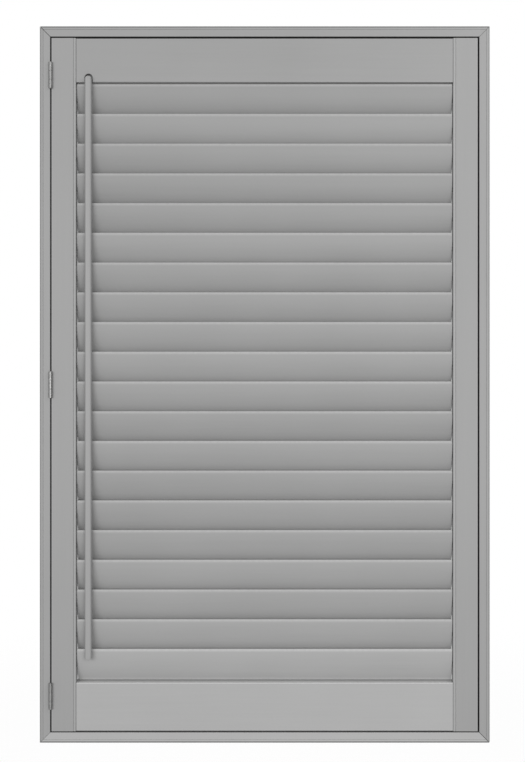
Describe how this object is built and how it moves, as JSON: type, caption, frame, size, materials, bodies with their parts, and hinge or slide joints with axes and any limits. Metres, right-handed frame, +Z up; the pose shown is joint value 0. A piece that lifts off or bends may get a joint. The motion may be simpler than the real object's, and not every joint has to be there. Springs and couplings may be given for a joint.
{
  "type": "louvred window shutter",
  "caption": "Grey interior shutter: one side-hung panel of tilting louvres with an offset tilt rod, hung on butt hinges in a mitred frame.",
  "frame": {"origin": "middle of the frame's underside", "axes": "+X to the right seen from the room, -Y towards the room, +Z up"},
  "size_m": [0.8616, 0.0604, 1.3719],
  "materials": {
    "frame_paint": "satin",
    "panel_paint": "satin",
    "louvre_paint": "satin",
    "rod_paint": "satin",
    "staple_wire": "satin",
    "dowel_wood": "matte",
    "key_plastic": "matte",
    "pin_nylon": "matte",
    "hinge_metal": "satin",
    "magnet_case": "matte",
    "strike_steel": "satin"
  },
  "bodies": {
    "frame": {"frame_top": "frame_paint", "frame_bottom": "frame_paint", "frame_left": "frame_paint", "frame_right": "frame_paint", "mitre_keys": "key_plastic", "hinge_frame_leaves": "hinge_metal", "hinge_pins": "hinge_metal", "hinge_frame_screws": "hinge_metal", "magnet_catches": "magnet_case"},
    "panel": {"stile_left": "panel_paint", "stile_right": "panel_paint", "top_rail": "panel_paint", "bottom_rail": "panel_paint", "rail_dowels_and_stops": "dowel_wood", "louvre_pins": "pin_nylon", "hinge_panel_leaves": "hinge_metal", "hinge_panel_screws": "hinge_metal", "strike_plates": "strike_steel"},
    "louvre_01": {"louvre_01": "louvre_paint", "louvre_staple_01": "staple_wire"},
    "louvre_02": {"louvre_02": "louvre_paint", "louvre_staple_02": "staple_wire"},
    "louvre_03": {"louvre_03": "louvre_paint", "louvre_staple_03": "staple_wire"},
    "louvre_04": {"louvre_04": "louvre_paint", "louvre_staple_04": "staple_wire"},
    "louvre_05": {"louvre_05": "louvre_paint", "louvre_staple_05": "staple_wire"},
    "louvre_06": {"louvre_06": "louvre_paint", "louvre_staple_06": "staple_wire"},
    "louvre_07": {"louvre_07": "louvre_paint", "louvre_staple_07": "staple_wire"},
    "louvre_08": {"louvre_08": "louvre_paint", "louvre_staple_08": "staple_wire"},
    "louvre_09": {"louvre_09": "louvre_paint", "louvre_staple_09": "staple_wire"},
    "louvre_10": {"louvre_10": "louvre_paint", "louvre_staple_10": "staple_wire"},
    "louvre_11": {"louvre_11": "louvre_paint", "louvre_staple_11": "staple_wire"},
    "louvre_12": {"louvre_12": "louvre_paint", "louvre_staple_12": "staple_wire"},
    "louvre_13": {"louvre_13": "louvre_paint", "louvre_staple_13": "staple_wire"},
    "louvre_14": {"louvre_14": "louvre_paint", "louvre_staple_14": "staple_wire"},
    "louvre_15": {"louvre_15": "louvre_paint", "louvre_staple_15": "staple_wire"},
    "louvre_16": {"louvre_16": "louvre_paint", "louvre_staple_16": "staple_wire"},
    "louvre_17": {"louvre_17": "louvre_paint", "louvre_staple_17": "staple_wire"},
    "louvre_18": {"louvre_18": "louvre_paint", "louvre_staple_18": "staple_wire"},
    "louvre_19": {"louvre_19": "louvre_paint", "louvre_staple_19": "staple_wire"},
    "louvre_20": {"louvre_20": "louvre_paint", "louvre_staple_20": "staple_wire"},
    "tilt_rod": {"tilt_rod": "rod_paint", "rod_staples": "staple_wire"}
  },
  "joints": [
    {"name": "panel_swing", "type": "hinge", "parent": "frame", "child": "panel", "pos_m": [-0.4095, -0.0287, 0.68595], "axis": [0, 0, -1], "range_deg": [0, 170]},
    {"name": "tilt_01", "type": "hinge", "parent": "panel", "child": "louvre_01", "pos_m": [-0.00025, -0.0115, 1.23145], "axis": [1, 0, 0], "range_deg": [-7, 138]},
    {"name": "tilt_02", "type": "hinge", "parent": "panel", "child": "louvre_02", "pos_m": [-0.00025, -0.0115, 1.17445], "axis": [1, 0, 0], "range_deg": [-7, 138]},
    {"name": "tilt_03", "type": "hinge", "parent": "panel", "child": "louvre_03", "pos_m": [-0.00025, -0.0115, 1.11745], "axis": [1, 0, 0], "range_deg": [-7, 138]},
    {"name": "tilt_04", "type": "hinge", "parent": "panel", "child": "louvre_04", "pos_m": [-0.00025, -0.0115, 1.06045], "axis": [1, 0, 0], "range_deg": [-7, 138]},
    {"name": "tilt_05", "type": "hinge", "parent": "panel", "child": "louvre_05", "pos_m": [-0.00025, -0.0115, 1.00345], "axis": [1, 0, 0], "range_deg": [-7, 138]},
    {"name": "tilt_06", "type": "hinge", "parent": "panel", "child": "louvre_06", "pos_m": [-0.00025, -0.0115, 0.94645], "axis": [1, 0, 0], "range_deg": [-7, 138]},
    {"name": "tilt_07", "type": "hinge", "parent": "panel", "child": "louvre_07", "pos_m": [-0.00025, -0.0115, 0.88945], "axis": [1, 0, 0], "range_deg": [-7, 138]},
    {"name": "tilt_08", "type": "hinge", "parent": "panel", "child": "louvre_08", "pos_m": [-0.00025, -0.0115, 0.83245], "axis": [1, 0, 0], "range_deg": [-7, 138]},
    {"name": "tilt_09", "type": "hinge", "parent": "panel", "child": "louvre_09", "pos_m": [-0.00025, -0.0115, 0.77545], "axis": [1, 0, 0], "range_deg": [-7, 138]},
    {"name": "tilt_10", "type": "hinge", "parent": "panel", "child": "louvre_10", "pos_m": [-0.00025, -0.0115, 0.71845], "axis": [1, 0, 0], "range_deg": [-7, 138]},
    {"name": "tilt_11", "type": "hinge", "parent": "panel", "child": "louvre_11", "pos_m": [-0.00025, -0.0115, 0.66145], "axis": [1, 0, 0], "range_deg": [-7, 138]},
    {"name": "tilt_12", "type": "hinge", "parent": "panel", "child": "louvre_12", "pos_m": [-0.00025, -0.0115, 0.60445], "axis": [1, 0, 0], "range_deg": [-7, 138]},
    {"name": "tilt_13", "type": "hinge", "parent": "panel", "child": "louvre_13", "pos_m": [-0.00025, -0.0115, 0.54745], "axis": [1, 0, 0], "range_deg": [-7, 138]},
    {"name": "tilt_14", "type": "hinge", "parent": "panel", "child": "louvre_14", "pos_m": [-0.00025, -0.0115, 0.49045], "axis": [1, 0, 0], "range_deg": [-7, 138]},
    {"name": "tilt_15", "type": "hinge", "parent": "panel", "child": "louvre_15", "pos_m": [-0.00025, -0.0115, 0.43345], "axis": [1, 0, 0], "range_deg": [-7, 138]},
    {"name": "tilt_16", "type": "hinge", "parent": "panel", "child": "louvre_16", "pos_m": [-0.00025, -0.0115, 0.37645], "axis": [1, 0, 0], "range_deg": [-7, 138]},
    {"name": "tilt_17", "type": "hinge", "parent": "panel", "child": "louvre_17", "pos_m": [-0.00025, -0.0115, 0.31945], "axis": [1, 0, 0], "range_deg": [-7, 138]},
    {"name": "tilt_18", "type": "hinge", "parent": "panel", "child": "louvre_18", "pos_m": [-0.00025, -0.0115, 0.26245], "axis": [1, 0, 0], "range_deg": [-7, 138]},
    {"name": "tilt_19", "type": "hinge", "parent": "panel", "child": "louvre_19", "pos_m": [-0.00025, -0.0115, 0.20545], "axis": [1, 0, 0], "range_deg": [-7, 138]},
    {"name": "tilt_20", "type": "hinge", "parent": "panel", "child": "louvre_20", "pos_m": [-0.00025, -0.0115, 0.14845], "axis": [1, 0, 0], "range_deg": [-7, 138]},
    {"name": "rod_hang", "type": "hinge", "parent": "louvre_01", "child": "tilt_rod", "pos_m": [-0.33725, -0.02101, 1.26695], "axis": [1, 0, 0], "range_deg": [-138, 7]}
  ],
  "couplings": [
    {"joint": "tilt_02", "follows": "tilt_01", "ratio": 1},
    {"joint": "tilt_03", "follows": "tilt_01", "ratio": 1},
    {"joint": "tilt_04", "follows": "tilt_01", "ratio": 1},
    {"joint": "tilt_05", "follows": "tilt_01", "ratio": 1},
    {"joint": "tilt_06", "follows": "tilt_01", "ratio": 1},
    {"joint": "tilt_07", "follows": "tilt_01", "ratio": 1},
    {"joint": "tilt_08", "follows": "tilt_01", "ratio": 1},
    {"joint": "tilt_09", "follows": "tilt_01", "ratio": 1},
    {"joint": "tilt_10", "follows": "tilt_01", "ratio": 1},
    {"joint": "tilt_11", "follows": "tilt_01", "ratio": 1},
    {"joint": "tilt_12", "follows": "tilt_01", "ratio": 1},
    {"joint": "tilt_13", "follows": "tilt_01", "ratio": 1},
    {"joint": "tilt_14", "follows": "tilt_01", "ratio": 1},
    {"joint": "tilt_15", "follows": "tilt_01", "ratio": 1},
    {"joint": "tilt_16", "follows": "tilt_01", "ratio": 1},
    {"joint": "tilt_17", "follows": "tilt_01", "ratio": 1},
    {"joint": "tilt_18", "follows": "tilt_01", "ratio": 1},
    {"joint": "tilt_19", "follows": "tilt_01", "ratio": 1},
    {"joint": "tilt_20", "follows": "tilt_01", "ratio": 1},
    {"joint": "rod_hang", "follows": "tilt_01", "ratio": -1}
  ]
}
